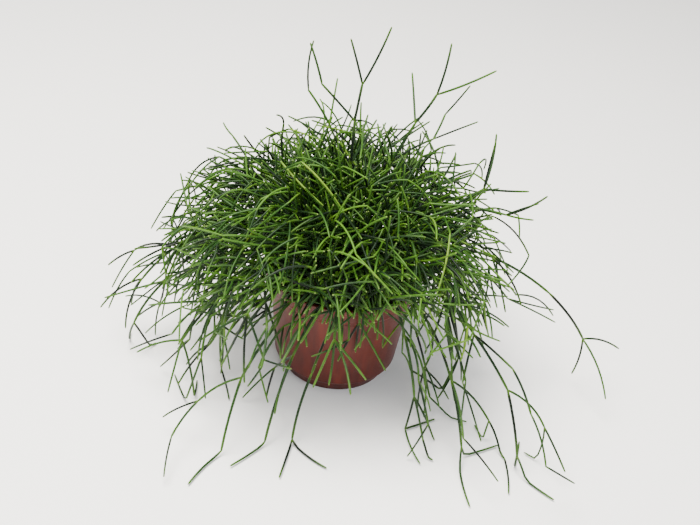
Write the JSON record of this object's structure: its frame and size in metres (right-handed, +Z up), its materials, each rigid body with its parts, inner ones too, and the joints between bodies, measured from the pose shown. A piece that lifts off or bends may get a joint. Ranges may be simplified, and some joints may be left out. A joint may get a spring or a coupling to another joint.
{
  "type": "mistletoe cactus in a nursery pot",
  "caption": "Mistletoe cactus with arching, trailing whorls of thin jointed green stems, rooted in potting mix in a thin terracotta-brown plastic nursery pot.",
  "frame": {"origin": "middle of the pot's base, on the surface that it stands on", "axes": "+Z up, -Y towards the side that the picture looks from, +X to the right of that view"},
  "size_m": [0.4072, 0.3109, 0.2726],
  "materials": {
    "pot_plastic": "thin moulded polypropylene with a soft sheen and light scuffs",
    "peat": "dark fibrous peat mix with crumbs and a few pale grains",
    "green_stem": "smooth waxy living stem, brighter at joints and tips"
  },
  "bodies": {
    "root": {"nursery_pot": "pot_plastic", "potting_mix": "peat", "spray_01": "green_stem", "spray_02": "green_stem", "spray_03": "green_stem", "spray_04": "green_stem", "spray_05": "green_stem", "spray_06": "green_stem", "spray_07": "green_stem", "spray_08": "green_stem", "spray_09": "green_stem", "spray_10": "green_stem", "spray_11": "green_stem", "spray_12": "green_stem", "spray_13": "green_stem", "spray_14": "green_stem", "spray_15": "green_stem", "spray_16": "green_stem", "spray_17": "green_stem", "spray_18": "green_stem", "spray_19": "green_stem", "spray_20": "green_stem", "spray_21": "green_stem", "spray_22": "green_stem", "spray_23": "green_stem", "spray_24": "green_stem", "spray_25": "green_stem", "spray_26": "green_stem", "spray_27": "green_stem", "spray_28": "green_stem", "spray_29": "green_stem", "spray_30": "green_stem", "spray_31": "green_stem", "spray_32": "green_stem", "spray_33": "green_stem", "spray_34": "green_stem", "spray_35": "green_stem", "spray_36": "green_stem", "spray_37": "green_stem", "spray_38": "green_stem", "spray_39": "green_stem", "spray_40": "green_stem", "spray_41": "green_stem", "spray_42": "green_stem", "spray_43": "green_stem", "spray_44": "green_stem", "spray_45": "green_stem", "spray_46": "green_stem", "spray_47": "green_stem", "spray_48": "green_stem", "spray_49": "green_stem", "spray_50": "green_stem", "spray_51": "green_stem", "spray_52": "green_stem", "spray_53": "green_stem", "spray_54": "green_stem", "spray_55": "green_stem", "spray_56": "green_stem", "spray_57": "green_stem"}
  },
  "joints": []
}
